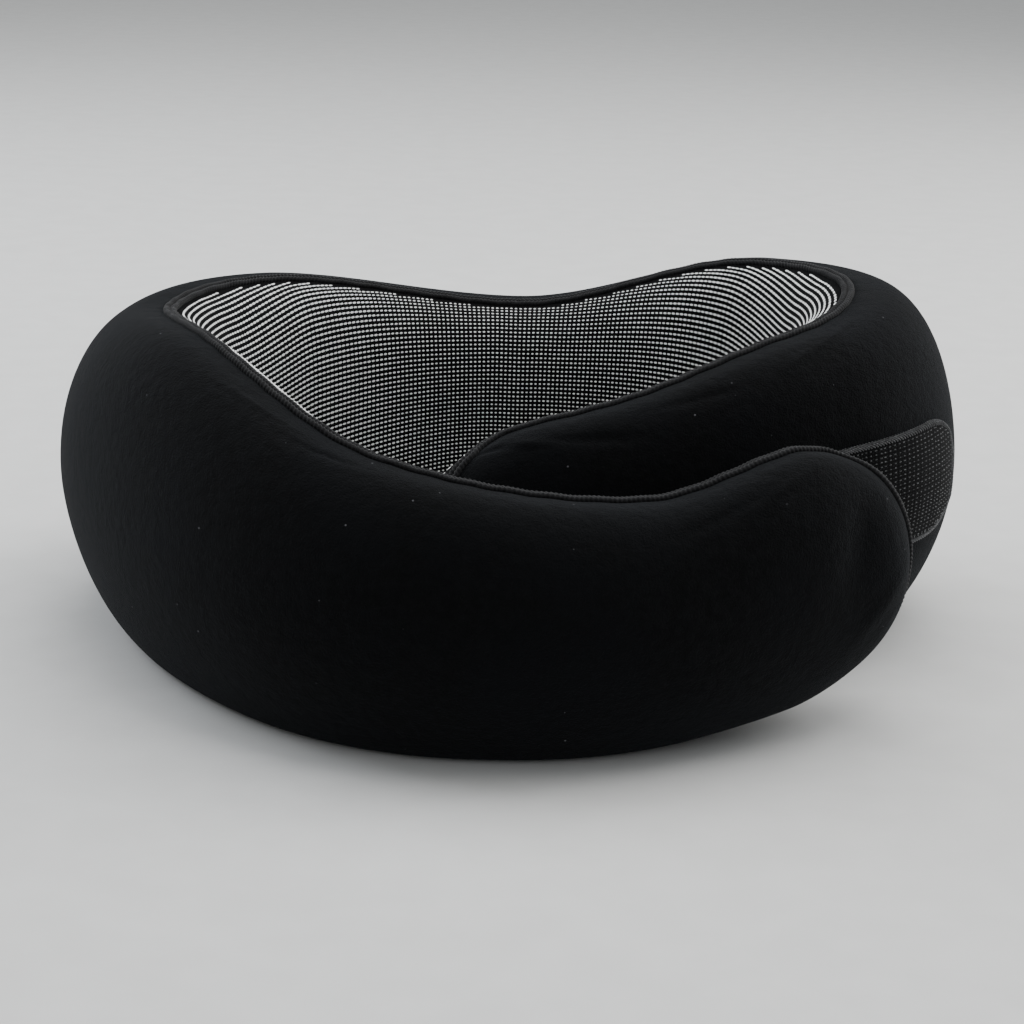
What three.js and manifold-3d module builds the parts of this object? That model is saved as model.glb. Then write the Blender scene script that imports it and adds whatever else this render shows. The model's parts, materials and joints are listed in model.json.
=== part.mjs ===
// A wrap-around memory-foam neck pillow, closed: the longer arm lies across the front, outside the shorter one.
// Millimetres. +Z is up, +Y is towards the back of the neck, and the pillow stands on z = 0.
import * as THREE from "three";
import { mergeVertices } from "three/addons/utils/BufferGeometryUtils.js";
import Module from "manifold-3d";

// ---- Driving dimensions ------------------------------------------------------------------------------------

// The centre line runs from the middle of the back, q = 0, round each side to an arm's tip. It is a chain of
// tangent arcs: [radius, degrees]. The first arc is shared, so the back is one true arc.
const BACK_Y = 82;
const BACK_ARC = [165, 28];
const LONG_ARCS = [BACK_ARC, [70, 74], [147, 37.5], [87, 40], [167, 44]];
const SHORT_ARCS = [BACK_ARC, [64, 45], [47, 72], [210, 34.5]];

// Top, underside and half thickness at places along each side: [distance from the middle of the back, value].
const LONG_TOP = [[0, 83], [90, 94], [145, 94.5], [215, 100], [300, 78.5], [375, 69.5], [425, 80], [457, 79.5]];
const LONG_BOTTOM = [[0, -3], [340, -3], [407, 4], [457, 12]];
const LONG_HALF_THICKNESS = [[0, 25], [90, 26], [145, 26], [215, 24], [300, 22], [375, 19], [457, 16.5]];
const SHORT_TOP = [[0, 83], [85, 104], [135, 106], [200, 98], [255, 83], [317, 70.5]];
const SHORT_BOTTOM = [[0, -3], [317, -3]]; // below zero, the floor presses the underside flat
const SHORT_HALF_THICKNESS = [[0, 25], [85, 24.5], [135, 28.5], [200, 23], [255, 18], [317, 15]];

const TIP_REACH = 38; // an arm's end rounds off over this length, seen from the side
const TIP_DROP = 27; // and by this much, above and below
const TIP_SLIVER = 0.16; // share of the half thickness left at the very tip

// Roundness of the section: a superellipse exponent for each quarter of it.
const ROUND_INNER = 3;
const ROUND_OUTER_TOP = 2;
const ROUND_OUTER_BOTTOM = 1.8;

// Where the piping runs round the section, in degrees from straight out, turning up and over.
const PIPING_TOP = 100;
const PIPING_BOTTOM = 228;
const PIPING_RADIUS = 1.1;
const SEAM_HALF_WIDTH = 1.8;

// Layers from the outside in: fabric, liner bag, foam.
const FABRIC = 1.2;
const LINER = 0.6;
const LAYER_GAP = 0.7;
const FLOOR_SPREAD = 2.2; // the layers lie this much further apart where the underside is pressed flat
const THINNEST = 11; // half thickness below which the tip holds no foam

const JOINT_AT = 150; // distance of both bends from the middle of the back
const JOINT_GAP = 1;
const LONG_OPENS = 60; // degrees
const SHORT_OPENS = 30;
const NOTCH_SPARE = 2; // degrees that a notch is wider than the bend it makes room for

const OUTER_STEPS = 11; // facets of the section across the outer cover
const INNER_STEPS = 6; // and across the neck panel

const COLOURS = {
  cover: 0x0d0e0f,
  panel: 0x35363a,
  piping: 0x141415,
  foam: 0xe8e2cf,
  liner: 0xd9d9d6,
  loop: 0x1c1c1e,
  hook: 0x101010,
  tape: 0x111112,
  teeth: 0x19191a,
  slider: 0x2b2b2d,
  label: 0xdedede,
};

const wasm = await Module();
wasm.setup();
const pillow = new THREE.Group();
const rad = THREE.MathUtils.degToRad;

// ---- The swept shape ---------------------------------------------------------------------------------------

// A smooth curve through [x, y] knots, level at the first.
function smooth(knots, x) {
  const last = knots.length - 1;
  let i = 0;
  while (i < last - 1 && x > knots[i + 1][0]) i++;
  const chord = (k) => (knots[k + 1][1] - knots[k][1]) / (knots[k + 1][0] - knots[k][0]);
  const slope = (k) => {
    if (k === 0) return 0;
    if (k === last) return chord(last - 1);
    const before = chord(k - 1);
    const after = chord(k);
    return before * after <= 0 ? 0 : (2 * before * after) / (before + after);
  };
  const width = knots[i + 1][0] - knots[i][0];
  const t = (x - knots[i][0]) / width;
  const rise = knots[i + 1][1] - knots[i][1];
  const eased = rise * t * t * (3 - 2 * t);
  const lean = width * t * (1 - t) * ((1 - t) * slope(i) - t * slope(i + 1));
  return knots[i][1] + eased + lean;
}

const lengthOf = (arcs) => arcs.reduce((sum, [radius, degrees]) => sum + radius * rad(degrees), 0);
const LONG_LENGTH = lengthOf(LONG_ARCS);
const SHORT_LENGTH = lengthOf(SHORT_ARCS);

// Place and heading on the centre line, walked towards -X from the middle of the back.
function walk(arcs, distance) {
  const at = new THREE.Vector2(0, BACK_Y);
  let heading = Math.PI;
  let left = distance;
  for (const [radius, degrees] of arcs) {
    const arc = Math.min(left, radius * rad(degrees));
    const turn = arc / radius;
    at.x += radius * (Math.sin(heading + turn) - Math.sin(heading));
    at.y -= radius * (Math.cos(heading + turn) - Math.cos(heading));
    heading += turn;
    left -= arc;
    if (left <= 0) break;
  }
  return { at, along: new THREE.Vector2(Math.cos(heading), Math.sin(heading)) };
}

// The section's frame at q, which is positive towards the long arm's tip and negative towards the short one's.
function station(q) {
  const long = q >= 0;
  const distance = Math.abs(q);
  const { at, along } = walk(long ? LONG_ARCS : SHORT_ARCS, distance);
  const outward = new THREE.Vector2(along.y, -along.x);
  if (!long) {
    at.x = -at.x;
    outward.x = -outward.x;
    along.y = -along.y;
  }
  const top = smooth(long ? LONG_TOP : SHORT_TOP, distance);
  const bottom = smooth(long ? LONG_BOTTOM : SHORT_BOTTOM, distance);
  const half = smooth(long ? LONG_HALF_THICKNESS : SHORT_HALF_THICKNESS, distance);
  const toTip = (long ? LONG_LENGTH : SHORT_LENGTH) - distance;
  const corner = Math.max(0, 1 - toTip / TIP_REACH);
  const taper = Math.max(0, 1 - toTip / half);
  return {
    at,
    along,
    outward,
    middle: (top + bottom) / 2,
    halfHeight: (top - bottom) / 2 - TIP_DROP * (1 - Math.sqrt(1 - corner * corner)),
    halfThickness: half * Math.max(TIP_SLIVER, Math.sqrt(1 - taper * taper)),
    spread: 1 + corner,
  };
}

// A point of the unit section, before it is stretched to its place's thickness and height.
function unitSection(degrees) {
  const c = Math.cos(rad(degrees));
  const s = Math.sin(rad(degrees));
  const round = c < 0 ? ROUND_INNER : s > 0 ? ROUND_OUTER_TOP : ROUND_OUTER_BOTTOM;
  return [Math.sign(c) * Math.abs(c) ** (2 / round), Math.sign(s) * Math.abs(s) ** (2 / round)];
}

// A point on the pillow: depth is measured inwards from the fabric's face, shift along the centre line.
// Layers spread apart towards a tip, where the section changes fastest.
function pointAt(q, degrees, depth = 0, shift = () => 0) {
  const place = station(q);
  const stretched = (angle) => {
    const [x, z] = unitSection(angle);
    return new THREE.Vector2(x * place.halfThickness, z * place.halfHeight);
  };
  const step = 2;
  const along = stretched(degrees + step).sub(stretched(degrees - step)).normalize();
  const inside = depth > FABRIC ? depth * place.spread : depth;
  const here = stretched(degrees).addScaledVector(new THREE.Vector2(-along.y, along.x), inside);
  const moved = shift(here.x);
  return new THREE.Vector3(
    place.at.x + place.outward.x * here.x + place.along.x * moved,
    place.at.y + place.outward.y * here.x + place.along.y * moved,
    Math.max(inside * FLOOR_SPREAD, place.middle + here.y),
  );
}

// Slides the end of a piece away from a bend and opens a notch on its outer side.
function notch(direction, opens) {
  const lean = Math.tan(rad((opens + NOTCH_SPARE) / 2));
  return (out) => direction * (JOINT_GAP / 2 + Math.max(0, out) * lean);
}

// The stretches of the pillow: the back and the two arms, each with its stations and its notches.
const evenly = (from, to, count) =>
  Array.from({ length: count + 1 }, (_, i) => from + ((to - from) * i) / count);
const TIP_EASING = [30, 22, 14, 8, 3.5, 1.2, 0];
const TIP_STARTS = 40;
const STRETCHES = {
  back: {
    stations: evenly(-JOINT_AT, JOINT_AT, 14),
    first: notch(1, SHORT_OPENS),
    last: notch(-1, LONG_OPENS),
  },
  long: {
    stations: [...evenly(JOINT_AT, LONG_LENGTH - TIP_STARTS, 12), ...TIP_EASING.map((e) => LONG_LENGTH - e)],
    first: notch(1, LONG_OPENS),
  },
  short: {
    stations: [...evenly(-JOINT_AT, TIP_STARTS - SHORT_LENGTH, 7), ...TIP_EASING.map((e) => e - SHORT_LENGTH)],
    first: notch(-1, SHORT_OPENS),
  },
};

function shiftAt(stretch, index) {
  if (index === 0 && stretch.first) return stretch.first;
  if (index === stretch.stations.length - 1 && stretch.last) return stretch.last;
  return () => 0;
}

const OUTER_ANGLES = evenly(PIPING_BOTTOM - 360, PIPING_TOP, OUTER_STEPS);
const INNER_ANGLES = evenly(PIPING_TOP, PIPING_BOTTOM, INNER_STEPS);

// ---- Solids ------------------------------------------------------------------------------------------------

// A closed solid through rings of points, with a flat or fanned cap on each end.
function loft(rings, cap) {
  const width = rings[0].length;
  const positions = rings.flat().flatMap((p) => [p.x, p.y, p.z]);
  const index = [];
  for (let i = 0; i + 1 < rings.length; i++) {
    for (let j = 0; j < width; j++) {
      const a = i * width + j;
      const b = i * width + ((j + 1) % width);
      index.push(a, b, a + width, b, b + width, a + width);
    }
  }
  const end = (rings.length - 1) * width;
  if (cap === "fan") {
    for (const [ring, start, turned] of [[rings[0], 0, false], [rings.at(-1), end, true]]) {
      const centre = ring.reduce((sum, p) => sum.add(p), new THREE.Vector3()).divideScalar(width);
      const hub = positions.push(centre.x, centre.y, centre.z) / 3 - 1;
      for (let j = 0; j < width; j++) {
        const pair = [start + j, start + ((j + 1) % width)];
        index.push(hub, ...(turned ? pair : pair.reverse()));
      }
    }
  } else {
    for (let j = 0; j + 1 < width / 2; j++) {
      const [a, b, c, d] = [j, j + 1, width - 2 - j, width - 1 - j];
      index.push(a, c, b, a, d, c, end + a, end + b, end + c, end + a, end + c, end + d);
    }
  }
  const geometry = new THREE.BufferGeometry();
  geometry.setAttribute("position", new THREE.Float32BufferAttribute(positions, 3));
  geometry.setIndex(index);
  return facingOut(geometry);
}

// Turns a closed geometry's faces round if they point inwards.
function facingOut(geometry) {
  const p = geometry.getAttribute("position");
  const index = geometry.index.array;
  const [a, b, c] = [new THREE.Vector3(), new THREE.Vector3(), new THREE.Vector3()];
  let volume = 0;
  for (let i = 0; i < index.length; i += 3) {
    a.fromBufferAttribute(p, index[i]);
    b.fromBufferAttribute(p, index[i + 1]);
    c.fromBufferAttribute(p, index[i + 2]);
    volume += a.dot(b.cross(c));
  }
  if (volume < 0) {
    for (let i = 0; i < index.length; i += 3) [index[i], index[i + 1]] = [index[i + 1], index[i]];
  }
  geometry.computeVertexNormals();
  return geometry;
}

function addPart(name, geometry, colour, roughness = 0.95, metalness = 0, parent = pillow) {
  const material = new THREE.MeshStandardMaterial({ color: colour, roughness, metalness });
  const mesh = new THREE.Mesh(geometry, material);
  mesh.name = name;
  parent.add(mesh);
  return mesh;
}

// An inner layer stops where the tip grows too thin to hold it.
const thickEnough = (stretch) => stretch.stations.filter((q) => station(q).halfThickness > THINNEST);

// A solid that fills the section to a depth, such as the foam.
function filling(stretch, depth) {
  const angles = [...OUTER_ANGLES, ...INNER_ANGLES.slice(1, -1)];
  const rings = thickEnough(stretch).map((q, i) =>
    angles.map((angle) => pointAt(q, angle, depth, shiftAt(stretch, i))));
  return loft(rings, "fan");
}

// How many degrees of the section make one millimetre along it.
function degreesPerMm(q, degrees) {
  const step = 0.5;
  const before = pointAt(q, degrees - step);
  const after = pointAt(q, degrees + step);
  return (2 * step) / Math.max(before.distanceTo(after), 0.05);
}

// A sheet of fabric between two angles of the section, at a depth, cut back from its two long edges.
function sheet(stretch, angles, depth, thickness, cutBack = 0) {
  const last = angles.length - 1;
  const rings = stretch.stations.map((q, i) => {
    const most = 0.8 * (angles[1] - angles[0]);
    const trim = (angle) => Math.min(cutBack * degreesPerMm(q, angle), most);
    const trimmed = angles.map((angle, j) => {
      if (j === 0) return angle + trim(angle);
      if (j === last) return angle - trim(angle);
      return angle;
    });
    const row = (d) => trimmed.map((angle) => pointAt(q, angle, d, shiftAt(stretch, i)));
    return [...row(depth), ...row(depth + thickness).reverse()];
  });
  return loft(rings, "strip");
}

// A bag round the foam, sewn shut at a tip and open where a bend cuts it.
function bag(stretch, depth, thickness) {
  const angles = [...OUTER_ANGLES, ...INNER_ANGLES.slice(1)];
  const closed = angles.slice(0, -1);
  const seam = 4;
  const at = (angle, j) => angle + (j === 0 ? seam / 2 : 0) - (j === closed.length ? seam / 2 : 0);
  const rings = thickEnough(stretch).map((q, i) => {
    const row = (d) => angles.map((angle, j) => pointAt(q, at(angle, j), d, shiftAt(stretch, i)));
    return [...row(depth), ...row(depth + thickness).reverse()];
  });
  return loft(rings, "strip");
}

const LINER_DEPTH = FABRIC + LAYER_GAP;
const FOAM_DEPTH = LINER_DEPTH + LINER + LAYER_GAP;

for (const [name, stretch] of Object.entries(STRETCHES)) {
  const where = name === "back" ? "back" : `${name}_arm`;
  addPart(`foam_core_${where}`, filling(stretch, FOAM_DEPTH), COLOURS.foam);
  addPart(`inner_liner_${where}`, bag(stretch, LINER_DEPTH, LINER), COLOURS.liner);
  addPart(`outer_cover_${where}`, sheet(stretch, OUTER_ANGLES, 0, FABRIC, SEAM_HALF_WIDTH), COLOURS.cover);
  addPart(`neck_panel_${where}`, sheet(stretch, INNER_ANGLES, 0, FABRIC, SEAM_HALF_WIDTH), COLOURS.panel);
}

// ---- Piping ------------------------------------------------------------------------------------------------

const PIPING_SIDES = 6;
const PIPING_STEP = 7;
const PIPING_PROUD = -0.3; // the cord's centre stands this far outside the fabric's face

// A cord along a curve, in steps of about the given length.
function cord(points, radius, step) {
  const path = new THREE.CatmullRomCurve3(points);
  const ring = evenly(0, 2 * Math.PI, PIPING_SIDES).slice(0, -1);
  const outline = new THREE.Shape(ring.map((a) => new THREE.Vector2(radius * Math.cos(a), radius * Math.sin(a))));
  const steps = Math.ceil(path.getLength() / step);
  return welded(new THREE.ExtrudeGeometry(outline, { steps, extrudePath: path, bevelEnabled: false }));
}

function welded(geometry) {
  geometry.deleteAttribute("normal");
  geometry.deleteAttribute("uv");
  return facingOut(mergeVertices(geometry, 1e-4));
}

// Points along the seam at one angle, pulled back from a bend by the joint's gap.
function seamLine(stretch, angle) {
  const { stations } = stretch;
  return stations.map((q, i) => {
    const ends = (i === 0 && stretch.first) || (i === stations.length - 1 && stretch.last);
    return pointAt(q, angle, PIPING_PROUD, ends ? () => shiftAt(stretch, i)(0) : undefined);
  });
}

// An arm's piping is one loop's end: along the top, round the tip and back along the bottom.
function armPiping(stretch) {
  const top = seamLine(stretch, PIPING_TOP);
  const bottom = seamLine(stretch, PIPING_BOTTOM);
  const tipStation = station(stretch.stations.at(-1));
  const beyond = PIPING_RADIUS + 0.6;
  const sense = Math.sign(stretch.stations.at(-1));
  const ahead = new THREE.Vector3(tipStation.along.x, tipStation.along.y, 0).multiplyScalar(sense * beyond);
  const upper = top.at(-1).clone().add(ahead);
  const lower = bottom.at(-1).clone().add(ahead);
  const middle = upper.clone().lerp(lower, 0.5).addScaledVector(ahead, 0.2);
  const back = bottom.slice(0, -2).reverse();
  return cord([...top.slice(0, -2), upper, middle, lower, ...back], PIPING_RADIUS, PIPING_STEP);
}

for (const [name, angle] of [["top", PIPING_TOP], ["bottom", PIPING_BOTTOM]]) {
  addPart(`piping_${name}_back`, cord(seamLine(STRETCHES.back, angle), PIPING_RADIUS, PIPING_STEP), COLOURS.piping);
}
addPart("piping_long_arm", armPiping(STRETCHES.long), COLOURS.piping);
addPart("piping_short_arm", armPiping(STRETCHES.short), COLOURS.piping);

// ---- Hook-and-loop fastener --------------------------------------------------------------------------------

const PATCH = 0.9; // thickness
const PATCH_OFF = 0.8; // clear of the fabric
const PATCH_GRID = 8;

// A sewn patch with round corners, lying on the pillow between two stations and two angles.
function patch(fromQ, toQ, fromAngle, toAngle, thickness, off) {
  const corner = 0.3; // of the patch's height
  const rings = evenly(0, 1, PATCH_GRID).map((u) => {
    const edge = Math.max(0, 1 - Math.min(u, 1 - u) / corner);
    const drop = (1 - Math.sqrt(1 - edge * edge)) * corner;
    const angles = evenly(drop, 1 - drop, PATCH_GRID).map((v) => fromAngle + (toAngle - fromAngle) * v);
    const q = fromQ + (toQ - fromQ) * u;
    const row = (depth) => angles.map((angle) => pointAt(q, angle, depth));
    return [...row(-off), ...row(-off - thickness).reverse()];
  });
  return loft(rings, "strip");
}

const LOOP_PATCH = { from: -156, to: -230, low: -16, high: 25 };
const HOOK_PATCH = { from: 374, to: 422, low: 158, high: 202 };
for (const [name, { from, to, low, high }] of Object.entries({ loop: LOOP_PATCH, hook: HOOK_PATCH })) {
  addPart(`${name}_patch`, patch(from, to, low, high, PATCH, PATCH_OFF), COLOURS[name]);
}

// ---- Zip along the low outer edge of the back --------------------------------------------------------------

// The zip lies on a cone about the back arc's own centre, so its slider turns about that centre.
const ZIP_CENTRE_Y = BACK_Y - BACK_ARC[0];
const ZIP_HALF_ANGLE = 21; // degrees each side of the middle of the back
const ZIP_Z = 23; // height of the tooth line
const TAPE_WIDTH = 8;
const TAPE = 0.8;
const CHAIN_WIDTH = 1.5;
const CHAIN = 1.4;
const CHAIN_GAP = 0.3;
const ZIP_OFF = 0.5; // the tape stands this far off the cover
const SLIDER_LENGTH = 9;

// The wall's radius about the zip's centre at a height, and its lean there.
function wallRadius(z) {
  const place = station(0);
  const low = (z - place.middle) / place.halfHeight;
  const out = (1 - Math.abs(low) ** ROUND_OUTER_BOTTOM) ** (1 / ROUND_OUTER_BOTTOM);
  return BACK_ARC[0] + out * place.halfThickness;
}
const ZIP_REACH = TAPE_WIDTH + CHAIN_WIDTH;
const ZIP_LEAN = Math.atan2(wallRadius(ZIP_Z + ZIP_REACH) - wallRadius(ZIP_Z - ZIP_REACH), 2 * ZIP_REACH);
const ZIP_RADIUS = wallRadius(ZIP_Z) + ZIP_OFF;

// A point of the zip: angle along it, distance up the wall from the tooth line, and distance out from the tape's back.
function zipPoint(degrees, up, out) {
  const radius = ZIP_RADIUS + up * Math.sin(ZIP_LEAN) + out * Math.cos(ZIP_LEAN);
  const z = ZIP_Z + up * Math.cos(ZIP_LEAN) - out * Math.sin(ZIP_LEAN);
  return new THREE.Vector3(-radius * Math.sin(rad(degrees)), ZIP_CENTRE_Y + radius * Math.cos(rad(degrees)), z);
}

function zipStrip(fromAngle, toAngle, low, high, inner, outer, steps) {
  const corners = [[low, inner], [high, inner], [high, outer], [low, outer]];
  const rings = evenly(fromAngle, toAngle, steps).map((a) => corners.map(([up, out]) => zipPoint(a, up, out)));
  return loft(rings, "fan");
}

const STOP_DEGREES = 0.7;
const CHAIN_HALF = ZIP_HALF_ANGLE - 1.5;
for (const [name, side] of [["upper", 1], ["lower", -1]]) {
  const near = (CHAIN_GAP / 2) * side;
  const edge = near + CHAIN_WIDTH * side;
  const tapeEdge = edge + (TAPE_WIDTH + CHAIN_GAP) * side;
  const tapeFrom = edge + CHAIN_GAP * side;
  addPart(
    `zip_tape_${name}`,
    zipStrip(-ZIP_HALF_ANGLE, ZIP_HALF_ANGLE, Math.min(tapeFrom, tapeEdge), Math.max(tapeFrom, tapeEdge), 0, TAPE, 14),
    COLOURS.tape,
  );
  addPart(
    `zip_chain_${name}`,
    zipStrip(-CHAIN_HALF, CHAIN_HALF, Math.min(near, edge), Math.max(near, edge), 0, CHAIN, 14),
    COLOURS.teeth,
    0.5,
  );
}
for (const [name, side] of [["start", 1], ["end", -1]]) {
  const from = side * (CHAIN_HALF + 0.15);
  const to = side * (CHAIN_HALF + 0.15 + STOP_DEGREES);
  addPart(
    `zip_stop_${name}`,
    zipStrip(Math.min(from, to), Math.max(from, to), -CHAIN_WIDTH, CHAIN_WIDTH, 0, CHAIN + 0.4, 1),
    COLOURS.slider,
    0.4,
    0.8,
  );
}

// The slider bridges the chains: a top plate with a flange down each side of them.
function manifoldOf(geometry) {
  const mesh = new wasm.Mesh({
    numProp: 3,
    vertProperties: geometry.getAttribute("position").array,
    triVerts: geometry.index.array,
  });
  return new wasm.Manifold(mesh);
}

function geometryOf(solid) {
  const mesh = solid.getMesh();
  const geometry = new THREE.BufferGeometry();
  geometry.setAttribute("position", new THREE.BufferAttribute(mesh.vertProperties, 3));
  geometry.setIndex(new THREE.BufferAttribute(mesh.triVerts, 1));
  geometry.computeVertexNormals();
  return geometry;
}

const SLIDER_AT = -(CHAIN_HALF - 1.6); // closed end
const SLIDER_HALF_DEGREES = THREE.MathUtils.radToDeg(SLIDER_LENGTH / 2 / ZIP_RADIUS);
const SLIDER_HALF_WIDTH = 3.6;
const SLIDER_FLANGE_OUT = TAPE + 0.4;
const SLIDER_TOP = CHAIN + 0.4 + 1.1;
const CHANNEL_HALF_WIDTH = CHAIN_WIDTH + CHAIN_GAP / 2 + 0.4;

function sliderBody() {
  const from = SLIDER_AT - SLIDER_HALF_DEGREES;
  const to = SLIDER_AT + SLIDER_HALF_DEGREES;
  const block = zipStrip(from, to, -SLIDER_HALF_WIDTH, SLIDER_HALF_WIDTH, SLIDER_FLANGE_OUT, SLIDER_TOP, 3);
  const channel = zipStrip(from - 1, to + 1, -CHANNEL_HALF_WIDTH, CHANNEL_HALF_WIDTH, 0, CHAIN + 0.4, 3);
  return manifoldOf(block).subtract(manifoldOf(channel));
}

// The bridge is a staple over the slider's plate, and the pull tab's eye turns round it.
const BRIDGE_HALF_WIDTH = 2.4;
const BRIDGE_RADIUS = 0.5;
const BRIDGE_OUT = SLIDER_TOP + 1.5;

function barAcross(degrees, out, halfWidth, radius) {
  const rings = [-halfWidth, halfWidth].map((up) =>
    evenly(0, 2 * Math.PI, 8).slice(0, -1).map((a) => {
      const turn = THREE.MathUtils.radToDeg((radius * Math.cos(a)) / ZIP_RADIUS);
      return zipPoint(degrees + turn, up, out + radius * Math.sin(a));
    }));
  return loft(rings, "fan");
}

function bridge() {
  const half = THREE.MathUtils.radToDeg(BRIDGE_RADIUS / ZIP_RADIUS);
  const posts = [-1, 1].map((side) => {
    const inner = side * (BRIDGE_HALF_WIDTH - 1);
    const outer = side * BRIDGE_HALF_WIDTH;
    const [low, high] = [Math.min(inner, outer), Math.max(inner, outer)];
    return zipStrip(SLIDER_AT - half, SLIDER_AT + half, low, high, SLIDER_TOP - 0.5, BRIDGE_OUT + 0.45, 1);
  });
  const bar = barAcross(SLIDER_AT, BRIDGE_OUT, BRIDGE_HALF_WIDTH - 0.2, BRIDGE_RADIUS);
  return manifoldOf(bar).add(manifoldOf(posts[0])).add(manifoldOf(posts[1]));
}
addPart("zip_slider", geometryOf(sliderBody().add(bridge())), COLOURS.slider, 0.4, 0.8);

// The pull tab is a flat tongue, in the bridge's own frame, with a hole that the bar passes through.
const PULL_LENGTH = 20;
const PULL_HALF_WIDTH = 1.1;
const PULL_THICKNESS = 1;
const EYE_RADIUS = 1.2;
const EYE_HOLE = 0.75;

function pullTab() {
  const outline = new THREE.Shape();
  outline.absarc(0, 0, EYE_RADIUS, -0.4, 0.4, true);
  outline.lineTo(PULL_LENGTH, PULL_THICKNESS / 2);
  outline.lineTo(PULL_LENGTH, -PULL_THICKNESS / 2);
  const hole = new THREE.Path();
  hole.absarc(0, 0, EYE_HOLE, 0, 2 * Math.PI, false);
  outline.holes.push(hole);
  const options = { depth: 2 * PULL_HALF_WIDTH, bevelEnabled: false, curveSegments: 10 };
  return welded(new THREE.ExtrudeGeometry(outline, options).translate(0, 0, -PULL_HALF_WIDTH));
}

// The frame of the bridge's bar: x along the zip, y out of the wall, z up it.
const bridgeFrame = new THREE.Group();
bridgeFrame.position.copy(zipPoint(SLIDER_AT, 0, BRIDGE_OUT));
bridgeFrame.rotation.set(0, 0, rad(SLIDER_AT), "ZYX");
const leaned = new THREE.Group();
leaned.rotation.x = -ZIP_LEAN;
bridgeFrame.add(leaned);
pillow.add(bridgeFrame);
const tab = addPart("zip_pull", pullTab(), COLOURS.slider, 0.4, 0.8, leaned);
tab.rotation.z = rad(180 + 4);

// ---- Care label --------------------------------------------------------------------------------------------

const LABEL = { from: 74, to: 96, low: -52, high: -22, thickness: 0.5, off: 0.4 };
addPart("care_label", patch(LABEL.from, LABEL.to, LABEL.low, LABEL.high, LABEL.thickness, LABEL.off), COLOURS.label);

// The origin is the middle of the footprint's box, on the surface that the pillow stands on.
const box = new THREE.Box3().setFromObject(pillow, true);
pillow.position.set(-(box.min.x + box.max.x) / 2, -(box.min.y + box.max.y) / 2, -box.min.z);

export default pillow;
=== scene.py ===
"""A wrap-around memory-foam neck pillow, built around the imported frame. Lengths are in millimetres."""

import json
import math

import bpy
import numpy as np
from mathutils import Matrix, Vector


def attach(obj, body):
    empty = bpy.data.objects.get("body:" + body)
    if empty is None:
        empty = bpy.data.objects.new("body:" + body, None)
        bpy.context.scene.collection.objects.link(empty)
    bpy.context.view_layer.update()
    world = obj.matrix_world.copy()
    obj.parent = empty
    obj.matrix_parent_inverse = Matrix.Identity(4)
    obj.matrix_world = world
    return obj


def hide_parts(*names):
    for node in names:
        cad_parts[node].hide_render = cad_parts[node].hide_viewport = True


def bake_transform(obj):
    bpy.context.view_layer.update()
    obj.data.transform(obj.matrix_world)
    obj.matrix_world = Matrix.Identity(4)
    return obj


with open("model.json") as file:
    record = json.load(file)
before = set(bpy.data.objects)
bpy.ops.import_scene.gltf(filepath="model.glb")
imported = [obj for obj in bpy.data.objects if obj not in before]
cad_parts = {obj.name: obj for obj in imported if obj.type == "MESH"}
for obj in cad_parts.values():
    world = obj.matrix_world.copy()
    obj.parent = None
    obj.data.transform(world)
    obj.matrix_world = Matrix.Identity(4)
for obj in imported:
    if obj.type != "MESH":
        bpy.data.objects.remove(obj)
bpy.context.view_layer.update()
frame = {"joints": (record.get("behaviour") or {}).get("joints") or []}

MM = 0.001
rng = np.random.default_rng(7)

# ---- The pillow's shape, as the frame has it ----

# The centre line leaves the middle of the back each way. Each side is a chain of arcs: (radius, degrees).
BACK_Y = 82.0
BACK_ARC = (165.0, 28.0)
LONG_ARCS = (BACK_ARC, (70.0, 74.0), (147.0, 37.5), (87.0, 40.0), (167.0, 44.0))
SHORT_ARCS = (BACK_ARC, (64.0, 45.0), (47.0, 72.0), (210.0, 34.5))

# Top, underside and half thickness along each side: (distance from the middle of the back, value).
LONG_TOP = ((0, 83), (90, 94), (145, 94.5), (215, 100), (300, 78.5), (375, 69.5), (425, 80), (457, 79.5))
LONG_BOTTOM = ((0, -3), (340, -3), (407, 4), (457, 12))
LONG_HALF = ((0, 25), (90, 26), (145, 26), (215, 24), (300, 22), (375, 19), (457, 16.5))
SHORT_TOP = ((0, 83), (85, 104), (135, 106), (200, 98), (255, 83), (317, 70.5))
SHORT_BOTTOM = ((0, -3), (317, -3))
SHORT_HALF = ((0, 25), (85, 24.5), (135, 28.5), (200, 23), (255, 18), (317, 15))

TIP_REACH = 38.0
TIP_DROP = 27.0
TIP_SLIVER = 0.16
ROUND_INNER = 3.0
ROUND_OUTER_TOP = 2.0
ROUND_OUTER_BOTTOM = 1.8
PIPING_TOP = 100.0
PIPING_BOTTOM = 228.0
SEAM_LOW = PIPING_BOTTOM - 360
SEAM_MEETS = -8.0  # the two seams meet here, on the outer side of an arm's tip
SEAM_CLOSES = 2.5
SEAM_TURNS = 24.0
TIP_CAP = 1.5
JOINT_AT = 150.0

# The face's relief: the foam's swells, the groove along each seam and the puckers beside it.
SWELL_BROAD = 0.35
SWELL_NARROW = 0.22
GROOVE_DEPTH = 0.5
GROOVE_DEGREES = 3.2
PUCKER_HEIGHT = 0.13
PUCKER_DEGREES = 9.0
FLOOR_GAP = 0.15


def arcs_length(arcs):
    return sum(radius * math.radians(degrees) for radius, degrees in arcs)


LONG_LENGTH = arcs_length(LONG_ARCS)
SHORT_LENGTH = arcs_length(SHORT_ARCS)


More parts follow.
